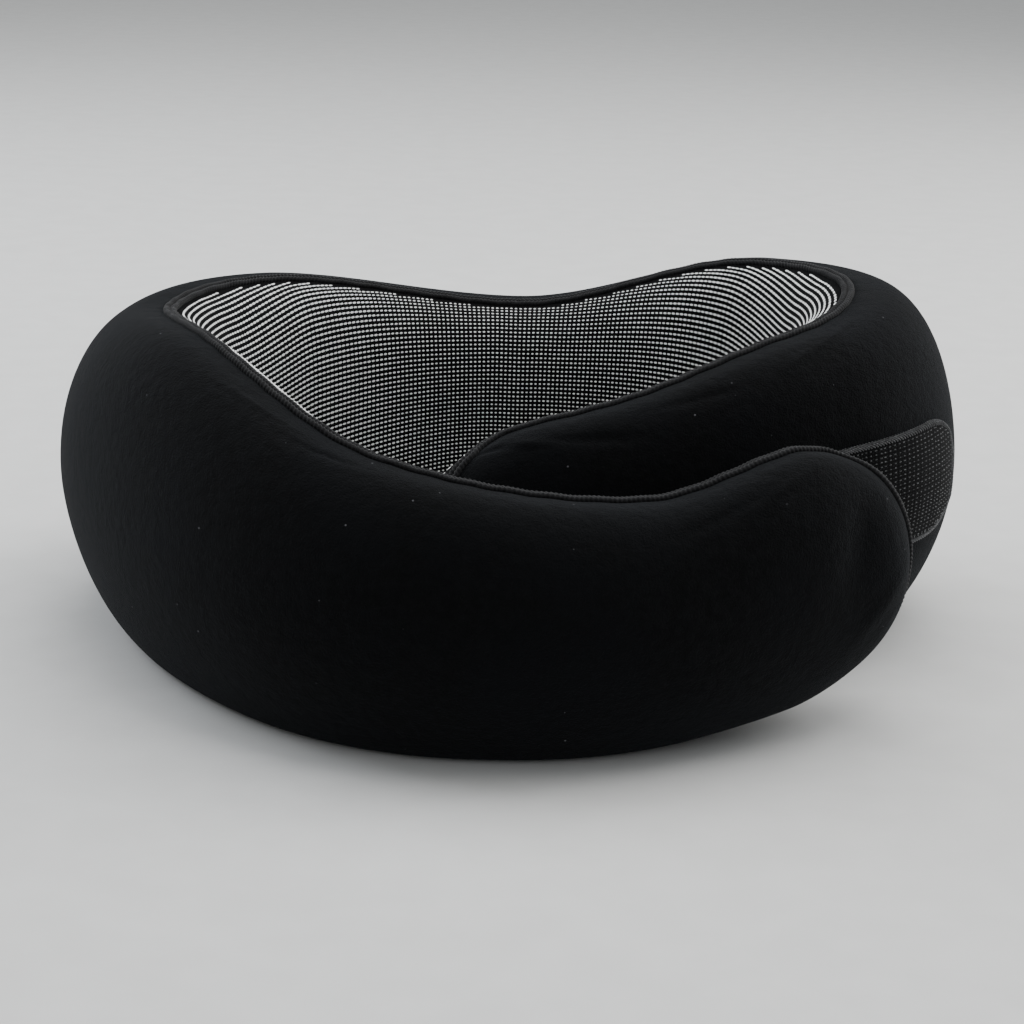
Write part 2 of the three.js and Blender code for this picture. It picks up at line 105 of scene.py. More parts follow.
def smooth(knots, x):
    """A smooth curve through (x, y) knots, level at the first."""
    kx = np.array([k[0] for k in knots], float)
    ky = np.array([k[1] for k in knots], float)
    width = np.diff(kx)
    chord = np.diff(ky) / width
    slope = np.zeros(len(kx))
    slope[-1] = chord[-1]
    before, after = chord[:-1], chord[1:]
    same = before * after > 0
    total = np.where(same, before + after, 1.0)
    slope[1:-1] = np.where(same, 2 * before * after / total, 0.0)
    i = np.clip(np.searchsorted(kx, x, side="left") - 1, 0, len(width) - 1)
    t = (x - kx[i]) / width[i]
    eased = (ky[i + 1] - ky[i]) * t * t * (3 - 2 * t)
    lean = width[i] * t * (1 - t) * ((1 - t) * slope[i] - t * slope[i + 1])
    return ky[i] + eased + lean


def walk(arcs, distance):
    """Places and headings on a centre line that leaves the middle of the back towards -X."""
    distance = np.asarray(distance, float)
    at = np.zeros(distance.shape + (2,))
    at[..., 1] = BACK_Y
    heading = np.full(distance.shape, math.pi)
    left = distance.copy()
    for radius, degrees in arcs:
        arc = np.clip(left, 0, radius * math.radians(degrees))
        turn = arc / radius
        at[..., 0] += radius * (np.sin(heading + turn) - np.sin(heading))
        at[..., 1] -= radius * (np.cos(heading + turn) - np.cos(heading))
        heading = heading + turn
        left = left - arc
    along = np.stack([np.cos(heading), np.sin(heading)], -1)
    return at, along


def joint_of(name):
    return next(j for j in frame["joints"] if j["name"] == name)


# The frame's origin is the middle of the footprint. The long arm's bend says how far that moves the arcs.
BEND_PLACE, _ = walk(LONG_ARCS, JOINT_AT)
ORIGIN = np.array(joint_of("long_arm_bend")["pos_m"][:2]) / MM - BEND_PLACE


class Side:
    """One half of the pillow, from the middle of the back to an arm's tip. s is the distance along it."""

    def __init__(self, name, sign, arcs, top, bottom, half, creases):
        self.name = name
        self.sign = sign
        self.arcs = arcs
        self.top = top
        self.bottom = bottom
        self.half = half
        self.creases = creases
        self.length = arcs_length(arcs)
        self.settled = None

    def place(self, s):
        """The centre line's place and heading, the way out, and the section's middle and half sizes."""
        s = np.asarray(s, float)
        at, along = walk(self.arcs, s)
        outward = np.stack([along[..., 1], -along[..., 0]], -1)
        if self.sign < 0:
            flip = np.array([-1.0, 1.0])
            at, along, outward = at * flip, along * flip, outward * flip
        top = smooth(self.top, s)
        bottom = smooth(self.bottom, s)
        half = smooth(self.half, s)
        to_tip = self.length - s
        corner = np.clip(1 - to_tip / TIP_REACH, 0, 1)
        taper = np.clip(1 - to_tip / half, 0, 1)
        high = (top - bottom) / 2 - TIP_DROP * (1 - np.sqrt(1 - corner**2))
        thick = half * np.maximum(TIP_SLIVER, np.sqrt(1 - taper**2))
        over = np.clip(s - self.length, 0, 1)
        close = np.sqrt(1 - over**2)
        at = at + ORIGIN + along * (over * TIP_CAP)[..., None]
        return at, along, outward, (top + bottom) / 2, high * close, thick * close

    def seams(self, s):
        """The angles of the top and the bottom seam, which close in a loop round the arm's tip."""
        start = self.length - SEAM_CLOSES - SEAM_TURNS
        turned = np.clip((np.asarray(s, float) - start) / SEAM_TURNS, 0, 1)
        share = np.sqrt(1 - turned**2)
        top, low = (SEAM_MEETS + (seam - SEAM_MEETS) * share for seam in (PIPING_TOP, SEAM_LOW))
        return top, low

    def raw(self, s, degrees, depth=0.0):
        """Points of the smooth pillow, depth millimetres inside its face."""
        at, _, outward, middle, high, thick = self.place(s)
        x, z = unit_section(degrees)
        nudge = 2
        ax, az = unit_section(degrees + nudge)
        bx, bz = unit_section(degrees - nudge)
        tx, tz = (ax - bx) * thick, (az - bz) * high
        size = np.maximum(np.hypot(tx, tz), 1e-9)
        out = x * thick - tz / size * depth
        up = middle + z * high + tx / size * depth
        up = soft_floor(up, depth)
        flat = at + outward * out[..., None]
        return np.concatenate([flat, up[..., None]], -1)

    def surface(self, s, degrees, proud=0.0, relief=True):
        """Points of the pillow's face with its dents and seam grooves, and the face's outward normals."""
        s, degrees = np.broadcast_arrays(np.asarray(s, float), np.asarray(degrees, float))
        step = 0.8
        inside = np.clip(s, step, self.length - step)
        along = self.raw(inside + step, degrees) - self.raw(inside - step, degrees)
        round_it = self.raw(inside, degrees + step) - self.raw(inside, degrees - step)
        normal = unit(np.cross(along, round_it) * self.sign)
        over = np.clip(s - self.length, 0, 1)[..., None]
        normal = unit(normal * (1 - over) + self.ahead() * over)
        points = self.raw(s, degrees)
        lift = np.asarray(proud, float) + (self.relief(s, degrees, points) if relief else 0.0)
        moved = points + normal * np.broadcast_to(lift, s.shape)[..., None]
        moved[..., 2] = np.maximum(moved[..., 2], FLOOR_GAP)
        return moved, normal

    def ahead(self):
        """The way the arm points at its tip."""
        _, along, _, _, _, _ = self.place(self.length)
        return np.array([along[0], along[1], 0.0])

    def relief(self, s, degrees, points):
        """Dents of the foam, the pull of the seams, and the cloth's own folds, in millimetres."""
        x, y, z = points[..., 0], points[..., 1], points[..., 2]
        broad = SWELL_BROAD * np.sin(x / 23 + 1.3) * np.sin(y / 19 + z / 31)
        swell = broad + SWELL_NARROW * np.sin(z / 12 + x / 37 + y / 17)
        top, low = self.seams(s)
        gaps = [np.abs(degrees - turn - seam) for seam in (top, low) for turn in (0, 360)]
        near = np.minimum.reduce(gaps)
        groove = -GROOVE_DEPTH * np.exp(-((near / GROOVE_DEGREES) ** 2))
        waves = PUCKER_HEIGHT * np.sin(s / 1.9 + 0.8 * np.sin(s / 13))
        pucker = waves * np.exp(-((near / PUCKER_DEGREES) ** 2))
        lying = np.clip(z / 12, 0, 1)
        return (swell + groove + pucker + self.folds(s, degrees) + self.creased(s, degrees)) * lying

    def creased(self, s, degrees):
        """The few creases and dents that lie in one place only."""
        lift = np.zeros(np.broadcast(s, degrees).shape)
        for place, angle, lean, length, width, height in self.creases:
            along = (s - place) * math.cos(lean) + (degrees - angle) * math.sin(lean)
            across = (degrees - angle) * math.cos(lean) - (s - place) * math.sin(lean)
            lift = lift + height * np.exp(-((along / length) ** 2) - (across / width) ** 2)
        return lift

    def folds(self, s, degrees):
        """How far the settled cloth stands out at each place, between its seams."""
        if self.settled is None:
            return np.zeros(np.broadcast(s, degrees).shape)
        rows, share_steps, height = self.settled
        top, low = self.seams(s)
        share = np.clip((degrees - low) / np.maximum(top - low, 1.0), 0, 1)
        i = np.clip(np.interp(s, rows, np.arange(len(rows))), 0, len(rows) - 1.001)
        j = np.clip(share * (share_steps - 1), 0, share_steps - 1.001)
        i0, j0 = i.astype(int), j.astype(int)
        u, v = i - i0, j - j0
        low_row = height[i0, j0] * (1 - v) + height[i0, j0 + 1] * v
        high_row = height[i0 + 1, j0] * (1 - v) + height[i0 + 1, j0 + 1] * v
        inside = (degrees >= low) & (degrees <= top)
        return np.where(inside, low_row * (1 - u) + high_row * u, 0.0)


def unit(vectors):
    return vectors / np.maximum(np.linalg.norm(vectors, axis=-1, keepdims=True), 1e-12)


def unit_section(degrees):
    c, s = np.cos(np.radians(degrees)), np.sin(np.radians(degrees))
    power = np.where(c < 0, ROUND_INNER, np.where(s > 0, ROUND_OUTER_TOP, ROUND_OUTER_BOTTOM))
    return np.sign(c) * np.abs(c) ** (2 / power), np.sign(s) * np.abs(s) ** (2 / power)


def soft_floor(up, depth, ease=2.5):
    """Presses what would lie below the floor flat, with a soft turn into the flat."""
    low = np.asarray(depth, float)
    above = (up - low) / ease
    return low + ease * np.where(above > 1, above, np.where(above < -1, 0, (above + 1) ** 2 / 4))


# Creases in the fabric: place along the side, angle round it, lean, half length, half width and height.
LONG_CREASES = (
    (429, 22, 1.45, 24, 6.0, -1.6),
    (437, -12, 1.2, 18, 3.5, 0.7),
    (412, 66, 0.7, 9, 2.2, 0.5),
    (391, 62, 0.4, 12, 3.0, -0.5),
    (262, 84, 0.3, 12, 2.2, 0.4),
    (286, 80, 0.3, 12, 2.2, -0.4),
    (90, -40, 0.2, 24, 5.0, -0.7),
)
SHORT_CREASES = (
    (191, 78, -0.85, 9, 1.7, 0.9),
    (197, 73, -0.75, 10, 1.7, -0.9),
    (204, 72, -0.65, 8, 1.6, 0.6),
    (184, 82, -0.8, 7, 1.6, -0.5),
    (294, 79, 0.9, 8, 2.2, -0.8),
    (286, 72, 0.8, 10, 2.2, 0.7),
    (266, 62, 0.5, 12, 3.0, -0.6),
    (236, 70, 0.3, 12, 2.6, -0.5),
    (60, -35, 0.2, 22, 5.0, -0.7),
)

LONG = Side("long_arm", 1, LONG_ARCS, LONG_TOP, LONG_BOTTOM, LONG_HALF, LONG_CREASES)
SHORT = Side("short_arm", -1, SHORT_ARCS, SHORT_TOP, SHORT_BOTTOM, SHORT_HALF, SHORT_CREASES)
SIDES = (LONG, SHORT)

# ---- Mesh helpers ----


def add_object(name, data):
    thing = bpy.data.objects.new(name, data)
    bpy.context.scene.collection.objects.link(thing)
    return thing


def evaluated(piece):
    """The piece as its modifiers or its curve's settings show it."""
    return piece.evaluated_get(bpy.context.evaluated_depsgraph_get())


def add_mesh(name, points, faces, material, cloth=None, flat_faces=0):
    """A mesh from points in millimetres, whose last flat_faces are shaded flat.

    cloth is each point's place on the fabric.
    """
    mesh = bpy.data.meshes.new(name)
    points = np.asarray(points, np.float64).reshape(-1, 3) * MM
    faces = np.asarray(faces, np.int32)
    width = faces.shape[1]
    mesh.vertices.add(len(points))
    mesh.vertices.foreach_set("co", points.ravel())
    mesh.loops.add(faces.size)
    mesh.loops.foreach_set("vertex_index", faces.ravel())
    mesh.polygons.add(len(faces))
    mesh.polygons.foreach_set("loop_start", np.arange(0, faces.size, width, dtype=np.int32))
    mesh.polygons.foreach_set("loop_total", np.full(len(faces), width, np.int32))
    shading = np.ones(len(faces), bool)
    shading[len(faces) - flat_faces :] = False
    mesh.polygons.foreach_set("use_smooth", shading)
    mesh.update(calc_edges=True)
    mesh.validate()
    if cloth is not None:
        layer = mesh.attributes.new("cloth", "FLOAT_VECTOR", "POINT")
        layer.data.foreach_set("vector", np.asarray(cloth, np.float32).ravel())
    mesh.materials.append(material)
    return add_object(name, mesh)


def grid_faces(rows, columns, close_columns=False, flip=False):
    """Quads of a grid of points, row by row."""
    across = columns if close_columns else columns - 1
    i, j = np.meshgrid(np.arange(rows - 1), np.arange(across), indexing="ij")
    a = i * columns + j
    b = i * columns + (j + 1) % columns
    quads = np.stack([a, b, b + columns, a + columns], -1).reshape(-1, 4)
    return quads[:, ::-1] if flip else quads


def join(parts):
    """Joins (points, faces) pairs into one."""
    points, faces, start = [], [], 0
    for p, f in parts:
        p = np.asarray(p, float).reshape(-1, 3)
        points.append(p)
        faces.append(np.asarray(f) + start)
        start += len(p)
    return np.concatenate(points), np.concatenate(faces)


def add_sheet(name, outer, inner, sign, material, x, y, flat_faces=0):
    """A piece of fabric with thickness, from two grids of the same size: both faces and the four edges.

    x and y are each point's place on the fabric.
    """
    rows, columns = outer.shape[:2]
    points = np.concatenate([outer.reshape(-1, 3), inner.reshape(-1, 3)])
    half = rows * columns
    face = grid_faces(rows, columns, flip=sign > 0)
    back = face[:, ::-1] + half
    k = np.arange(half).reshape(rows, columns)
    edges = []
    for line, turned in ((k[:, 0], False), (k[:, -1], True), (k[0], True), (k[-1], False)):
        a, b = line[:-1], line[1:]
        strip = np.stack([a, b, b + half, a + half], -1)
        edges.append(strip[:, ::-1] if turned != (sign > 0) else strip)
    cloth = np.stack([x, y, x * 0], -1).reshape(-1, 3)
    cloth = np.concatenate([cloth, cloth])
    return add_mesh(name, points, np.concatenate([face, back, *edges]), material, cloth, flat_faces)


def cap_faces(count):
    """Quads that close a ring with an even number of points."""
    return np.array([[k, k + 1, count - 2 - k, count - 1 - k] for k in range(count // 2 - 1)])


def run_along(path):
    """How far along a path each of its points lies."""
    return np.r_[0, np.cumsum(np.linalg.norm(np.diff(path, axis=0), axis=1))]


def soften(values, rounds):
    """Evens out a path's kinks, or a grid's from row to row, and leaves the two ends where they are."""
    values = values.copy()
    for _ in range(rounds):
        values[1:-1] = (values[:-2] + 2 * values[1:-1] + values[2:]) / 4
    return values


def tube(path, normals, radius, sides=8, ridges=0.0, ridge_pitch=1.0, ridge_turn=1):
    """A round cord along a path, ribbed like twisted yarn when ridges is above 0."""
    tangent = unit(np.gradient(path, axis=0))
    up = unit(normals - (normals * tangent).sum(1, keepdims=True) * tangent)
    across = np.cross(tangent, up)
    run = run_along(path)
    turn = np.linspace(0, 2 * math.pi, sides, endpoint=False)
    swell = 1 + ridges * np.cos(turn[None] * ridge_turn - 2 * math.pi * run[:, None] / ridge_pitch)
    upward = np.cos(turn)[:, None] * up[:, None]
    sideways = np.sin(turn)[:, None] * across[:, None]
    ring = path[:, None] + (radius * swell)[..., None] * (upward + sideways)
    last = (len(path) - 1) * sides
    caps = cap_faces(sides)
    faces = np.concatenate([grid_faces(len(path), sides, close_columns=True), caps[:, ::-1], caps + last])
    return ring.reshape(-1, 3), faces


def resample(path, step):
    """The same path with points an even step apart."""
    run = run_along(path)
    even = np.linspace(0, run[-1], max(2, round(run[-1] / step) + 1))
    return np.stack([np.interp(even, run, path[:, k]) for k in range(path.shape[1])], 1)


# ---- Materials ----

TURN = 2 * math.pi
KNIT_LOOP = 0.72
NET_PITCH = 1.7
WEAVE_PITCH = 0.5
PILE_SCALE = 1900
CLUMP_SCALE = 330
DRIFT_SCALE = 26
SPECK_SCALE = 170


class Nodes:
    """A short way to write a material's nodes."""

    def __init__(self, name):
        self.material = bpy.data.materials.new(name)
        self.material.use_nodes = True
        self.tree = self.material.node_tree
        self.shader = self.tree.nodes["Principled BSDF"]

    def feed(self, socket, value):
        """Links a socket to another node's, or gives it a plain value."""
        if isinstance(value, bpy.types.NodeSocket):
            self.tree.links.new(value, socket)
        else:
            socket.default_value = value

    def add(self, kind, **inputs):
        node = self.tree.nodes.new(kind)
        for key, value in inputs.items():
            self.feed(node.inputs[key], value)
        return node

    def math(self, operation, a, b=0.0, c=0.0):
        node = self.tree.nodes.new("ShaderNodeMath")
        node.operation = operation
        for socket, value in zip(node.inputs, (a, b, c)):
            self.feed(socket, value)
        return node.outputs[0]

    def ramp(self, value, low, high):
        """0 below low, 1 above high, smooth between."""
        node = self.tree.nodes.new("ShaderNodeMapRange")
        node.interpolation_type = "SMOOTHSTEP"
        self.tree.links.new(value, node.inputs["Value"])
        node.inputs["From Min"].default_value = low
        node.inputs["From Max"].default_value = high
        return node.outputs[0]

    def cloth(self, pitch=TURN):
        """Each point's place along and across the fabric, a full turn for every pitch in millimetres."""
        node = self.tree.nodes.new("ShaderNodeAttribute")
        node.attribute_name = "cloth"
        scaled = self.tree.nodes.new("ShaderNodeVectorMath")
        scaled.operation = "MULTIPLY"
        self.feed(scaled.inputs[0], node.outputs["Vector"])
        scaled.inputs[1].default_value = (TURN / pitch, TURN / pitch, 1)
        split = self.add("ShaderNodeSeparateXYZ", Vector=scaled.outputs[0])
        return split.outputs[0], split.outputs[1]

    def weave(self, pitch):
        """Even waves along and across the fabric."""
        along, across = self.cloth(pitch)
        return self.math("MULTIPLY", self.math("SINE", along), self.math("SINE", across))

    def place(self):
        return self.add("ShaderNodeTexCoord").outputs["Object"]

    def noise(self, vector, scale, detail=3.0, roughness=0.5):
        kind = "ShaderNodeTexNoise"
        return self.add(kind, Vector=vector, Scale=scale, Detail=detail, Roughness=roughness).outputs["Fac"]

    def mix(self, factor, a, b):
        node = self.tree.nodes.new("ShaderNodeMix")
        node.data_type = "RGBA"
        self.tree.links.new(factor, node.inputs["Factor"])
        for socket, value in ((node.inputs[6], a), (node.inputs[7], b)):
            self.feed(socket, (*value, 1.0) if isinstance(value, tuple) else value)
        return node.outputs[2]

    def bump(self, height, distance, strength=1.0, after=None):
        node = self.add("ShaderNodeBump", Height=height, Distance=distance, Strength=strength)
        if after is not None:
            self.tree.links.new(after, node.inputs["Normal"])
        return node.outputs["Normal"]

    def finish(self, colour, roughness, normal=None, sheen=0.0, tint=(1, 1, 1), metallic=0.0, shine=0.1):
        shader = self.shader
        self.tree.links.new(colour, shader.inputs["Base Color"])
        self.feed(shader.inputs["Roughness"], roughness)
        if normal is not None:
            self.tree.links.new(normal, shader.inputs["Normal"])
        inputs = {"Sheen Weight": sheen, "Sheen Roughness": 0.42, "Sheen Tint": (*tint, 1.0)}
        inputs.update({"Metallic": metallic, "Specular IOR Level": shine})
        for name, value in inputs.items():
            shader.inputs[name].default_value = value
        return self.material


def brushed_cover_material():
    """Brushed black stretch fabric: a short felted pile with a few pale lint specks."""
    n = Nodes("brushed_cover")
    place = n.place()
    pile = n.noise(place, PILE_SCALE, 4, 0.65)
    clumps = n.noise(place, CLUMP_SCALE, 3, 0.6)
    drift = n.noise(place, DRIFT_SCALE, 2, 0.5)
    shade = n.mix(n.ramp(clumps, 0.35, 0.7), (0.0014, 0.0015, 0.0017), (0.0028, 0.0030, 0.0034))
    shade = n.mix(n.ramp(drift, 0.35, 0.7), shade, (0.0024, 0.0027, 0.0034))
    specks = n.add("ShaderNodeTexVoronoi", Vector=place, Scale=SPECK_SCALE)
    pick = n.add("ShaderNodeSeparateColor", Color=specks.outputs["Color"]).outputs[0]
    rare = n.ramp(pick, 0.5, 1.0)
    near = n.math("LESS_THAN", specks.outputs["Distance"], 0.045)
    lint = n.math("MULTIPLY", rare, near)
    colour = n.mix(lint, shade, (0.13, 0.13, 0.14))
    normal = n.bump(pile, 0.0006, 0.7)
    normal = n.bump(clumps, 0.0009, 0.5, normal)
    return n.finish(colour, 0.92, normal, sheen=0.035, tint=(0.82, 0.9, 1.0))


def knit_ground_material():
    """Black knit between the dots: rows of small loops."""
    n = Nodes("knit_ground")
    loops = n.weave(KNIT_LOOP)
    fuzz = n.noise(n.place(), 1500, 3, 0.6)
    colour = n.mix(n.ramp(fuzz, 0.3, 0.75), (0.0015, 0.0015, 0.0017), (0.005, 0.005, 0.0055))
    normal = n.bump(loops, 0.00025, 0.7)
    return n.finish(colour, 0.9, normal, sheen=0.015, shine=0.05)


def dot_material():
    """White yarn of the raised dots."""
    n = Nodes("white_yarn")
    fuzz = n.noise(n.place(), 2600, 2, 0.6)
    colour = n.mix(n.ramp(fuzz, 0.3, 0.7), (0.78, 0.78, 0.77), (0.93, 0.93, 0.92))
    return n.finish(colour, 0.8, n.bump(fuzz, 0.0001, 0.4))


def yarn_material(name, dark, light, sheen):
    """Twisted or woven black yarn with a fine fibre."""
    n = Nodes(name)
    fibre = n.noise(n.place(), 2400, 4, 0.7)
    drift = n.noise(n.place(), 240, 2, 0.5)
    colour = n.mix(n.ramp(fibre, 0.3, 0.75), dark, light)
    colour = n.mix(n.math("MULTIPLY", n.ramp(drift, 0.4, 0.8), 0.5), colour, dark)
    return n.finish(colour, 0.8, n.bump(fibre, 0.0002, 0.6), sheen=sheen)


def loop_material():
    """Napped loop tape: a diagonal net of pale loop ends on black."""
    n = Nodes("loop_tape")
    along, across = n.cloth()
    net = TURN / NET_PITCH
    wave_a, wave_b = (
        n.math("SINE", n.math("MULTIPLY", n.math(way, along, across), net)) for way in ("ADD", "SUBTRACT")
    )
    ends = n.ramp(n.math("MULTIPLY", wave_a, wave_b), 0.25, 0.85)
    fuzz = n.noise(n.place(), 1700, 3, 0.7)
    lit = n.math("MULTIPLY", ends, n.ramp(fuzz, 0.25, 0.7))
    colour = n.mix(lit, (0.002, 0.002, 0.0022), (0.020, 0.021, 0.022))
    normal = n.bump(fuzz, 0.0003, 0.6)
    return n.finish(colour, 0.85, normal, sheen=0.03)


def plastic_material(name, colour_a, colour_b, roughness=0.38, metallic=0.0):
    n = Nodes(name)
    wear = n.noise(n.place(), 420, 3, 0.6)
    colour = n.mix(n.ramp(wear, 0.35, 0.7), colour_a, colour_b)
    rough = n.math("MULTIPLY_ADD", wear, 0.25, roughness - 0.1)
    return n.finish(colour, rough, n.bump(wear, 0.00008, 0.3), metallic=metallic, shine=0.45)


def foam_material():
    n = Nodes("memory_foam")
    cells = n.add("ShaderNodeTexVoronoi", Vector=n.place(), Scale=1200).outputs["Distance"]
    colour = n.mix(n.ramp(cells, 0.0, 0.6), (0.62, 0.56, 0.40), (0.84, 0.79, 0.62))
    return n.finish(colour, 0.9, n.bump(cells, 0.0004, 0.6))


def ribbon_material(name, colour_a, colour_b):
    """Woven ribbon or jersey: a fine over-and-under weave."""
    n = Nodes(name)
    weave = n.weave(WEAVE_PITCH)
    colour = n.mix(n.ramp(weave, -0.6, 0.6), colour_a, colour_b)
    return n.finish(colour, 0.75, n.bump(weave, 0.00015, 0.6), sheen=0.04)


COVER = brushed_cover_material()
GROUND = knit_ground_material()
DOTS = dot_material()
PIPING = yarn_material("piping_yarn", (0.004, 0.004, 0.0045), (0.026, 0.026, 0.027), sheen=0.14)
THREAD = yarn_material("sewing_thread", (0.030, 0.030, 0.031), (0.230, 0.233, 0.238), sheen=0.1)
LOOP_ENDS = yarn_material("loop_yarn", (0.040, 0.040, 0.041), (0.270, 0.274, 0.280), sheen=0.1)
LOOP = loop_material()
HOOK = plastic_material("hook_nylon", (0.006, 0.006, 0.0065), (0.014, 0.014, 0.015), 0.42)
COIL = plastic_material("coil_nylon", (0.008, 0.008, 0.0085), (0.018, 0.018, 0.019), 0.36)
LACQUER = plastic_material("black_lacquer", (0.010, 0.010, 0.011), (0.022, 0.022, 0.023), 0.32, 0.6)
TAPE = ribbon_material("zip_tape_weave", (0.003, 0.003, 0.0033), (0.009, 0.009, 0.0095))
LABEL = ribbon_material("label_satin", (0.035, 0.035, 0.036), (0.065, 0.065, 0.067))
LINER = ribbon_material("liner_jersey", (0.58, 0.58, 0.56), (0.76, 0.76, 0.74))
FOAM = foam_material()

# ---- Riding, and standing in for the frame's nodes ----


def fasten(piece, slot, body, *nodes):
    """Fastens a piece to one body, in place of the named nodes. The slot is not used."""
    if nodes:
        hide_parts(*nodes)
    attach(piece, body)


def padded(piece, side, node):
    """Stands a piece in for a node of the back and of an arm: hides both nodes and bakes the piece's
    transform.
    """
    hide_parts(f"{node}_back", f"{node}_{side.name}")
    bend(piece, side)


def bend(piece, side):
    """Bakes a piece's transform into its mesh. The place of the side's bend is worked out but not used."""
    at, along = walk(side.arcs, JOINT_AT)
    if side.sign < 0:
        at, along = at * np.array([-1.0, 1.0]), along * np.array([-1.0, 1.0])
    at = at + ORIGIN
    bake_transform(piece)


def stations(side, step, end):
    """Distances along a side up to end, closer together where the tip rounds off."""
    round_from = end - SEAM_TURNS
    body = np.linspace(0, round_from, round(round_from / step), endpoint=False)
    turn = np.linspace(0, math.pi / 2, 40)
    return np.r_[body, round_from + SEAM_TURNS * np.sin(turn)]


# ---- Foam and liner ----

FOAM_DEPTH = 5.0
LINER_DEPTH = 3.4
BODY_SIDES = 72
BODY_STEP = 5.0
SHORT_OF_TIP = TIP_REACH * 0.45


def inner_body(side, depth, name, material, node):
    """The foam or its bag: a closed body a few millimetres inside the cover."""
    s = np.arange(0, side.length - SHORT_OF_TIP, BODY_STEP)
    around = np.linspace(0, 360, BODY_SIDES, endpoint=False)
    grid_s, grid_a = np.meshgrid(s, around, indexing="ij")
    points = side.raw(grid_s, grid_a, depth)
    faces = grid_faces(len(s), BODY_SIDES, close_columns=True, flip=side.sign > 0)
    caps = []
    for row, turned in ((0, False), (len(s) - 1, True)):
        quads = cap_faces(BODY_SIDES) + row * BODY_SIDES
        caps.append(quads[:, ::-1] if turned != (side.sign > 0) else quads)
    cloth = np.stack([grid_s, grid_a * 0.6, grid_s * 0], -1)
    piece = add_mesh(name, points, np.concatenate([faces, *caps]), material, cloth)
    padded(piece, side, node)


# ---- Outer cover ----

COVER_STEP = 2.0
SKIN = 1.0


def shares(count):
    """Even steps from 0 to 1, closer together beside the two seams."""
    t = np.linspace(0, 1, count)
    return t - 0.09 * np.sin(2 * math.pi * t)


def cover_grid(side, step, count):
    """Places on the outer cover: distances along the side and angles round it."""
    s = stations(side, step, side.length - SEAM_CLOSES)[:, None]
    top, low = side.seams(s)
    return np.broadcast_to(s, (len(s), count)), low + (top - low) * shares(count)


def knit_grid(side, step, count):
    """Places on the neck panel, which wraps round the arm's tip and closes it."""
    s = stations(side, step, side.length)
    s = np.r_[s, side.length + np.sin(np.linspace(0, math.pi / 2, 6))[1:]][:, None]
    top, low = side.seams(s)
    return np.broadcast_to(s, (len(s), count)), top + (low + 360 - top) * shares(count)


def sewn_panel(side, grid_s, grid_a, name, material, slot, node):
    """A panel of fabric between the two seams."""
    outer, normal = side.surface(grid_s, grid_a)
    inner = outer - normal * SKIN
    inner[..., 2] = np.maximum(inner[..., 2], SKIN * 0.6)
    across = np.broadcast_to(run_along(outer[len(outer) // 3]), grid_s.shape)
    walls = 2 * (grid_s.shape[0] + grid_s.shape[1] - 2)
    piece = add_sheet(name, outer, inner, side.sign, material, grid_s * side.sign, across, walls)
    padded(piece, side, node)


# ---- The cover's cloth, settled over the foam ----

SETTLE_STEP = 3.0
SETTLE_ACROSS = 60
SETTLE_FRAMES = 20
SMEAR_ROUNDS = 14
MOST_FOLD = 1.6


def settle(side):
    """Lets the cover settle as cloth, held at its seams and a little roomier than the foam under it."""
    grid_s, grid_a = cover_grid(side, SETTLE_STEP, SETTLE_ACROSS)
    start, normal = side.surface(grid_s, grid_a, relief=False)
    rows, columns = grid_s.shape
    piece = add_mesh(f"settling_{side.name}", start, grid_faces(rows, columns, flip=side.sign > 0), COVER)
    edge = np.zeros((rows, columns), bool)
    edge[0] = edge[-1] = edge[:, 0] = edge[:, -1] = True
    held = piece.vertex_groups.new(name="held")
    held.add([int(k) for k in np.flatnonzero(edge)], 1.0, "REPLACE")
    cloth = piece.modifiers.new("cloth", "CLOTH")
    fabric = cloth.settings
    fabric.quality = 5
    fabric.vertex_group_mass = "held"
    fabric.tension_stiffness = 12
    fabric.compression_stiffness = 12
    fabric.shear_stiffness = 4
    fabric.bending_stiffness = 0.25
    fabric.use_pressure = True
    fabric.uniform_pressure_force = 4
    fabric.shrink_min = -0.06
    fabric.effector_weights.gravity = 0
    cloth.point_cache.frame_start = 1
    cloth.point_cache.frame_end = SETTLE_FRAMES
    scene = bpy.context.scene
    for frame_number in range(1, SETTLE_FRAMES + 1):
        scene.frame_set(frame_number)
    after = np.empty(rows * columns * 3)
    evaluated(piece).data.vertices.foreach_get("co", after)
    moved = ((after.reshape(rows, columns, 3) / MM - start) * normal).sum(-1)
    scene.frame_set(1)
    bpy.data.objects.remove(piece)
    moved -= smeared(moved)
    side.settled = (grid_s[:, 0], columns, MOST_FOLD * np.tanh(moved / MOST_FOLD))


def smeared(grid):
    """The same grid with its folds smoothed away, so that the difference between them is only folds."""
    for _ in range(SMEAR_ROUNDS):
        grid = soften(soften(grid, 1).T, 1).T
    return grid


# ---- Dotted knit ----

DOT_PITCH = 1.45
ROWS_SPREAD = 0.25  # the rows lie this much further apart at the sides than at the nape
ROWS_DROP = 26.0  # and run down towards the arms by this much
MOST_ROWS = 120
DOT_SIDES = 6
DOT_HEIGHT = 0.28
BACK_MARGIN = 3.4
ARM_MARGIN = 2.6
TIP_MARGIN = 4.0


def ease(value, low, high):
    t = np.clip((value - low) / (high - low), 0, 1)
    return t * t * (3 - 2 * t)


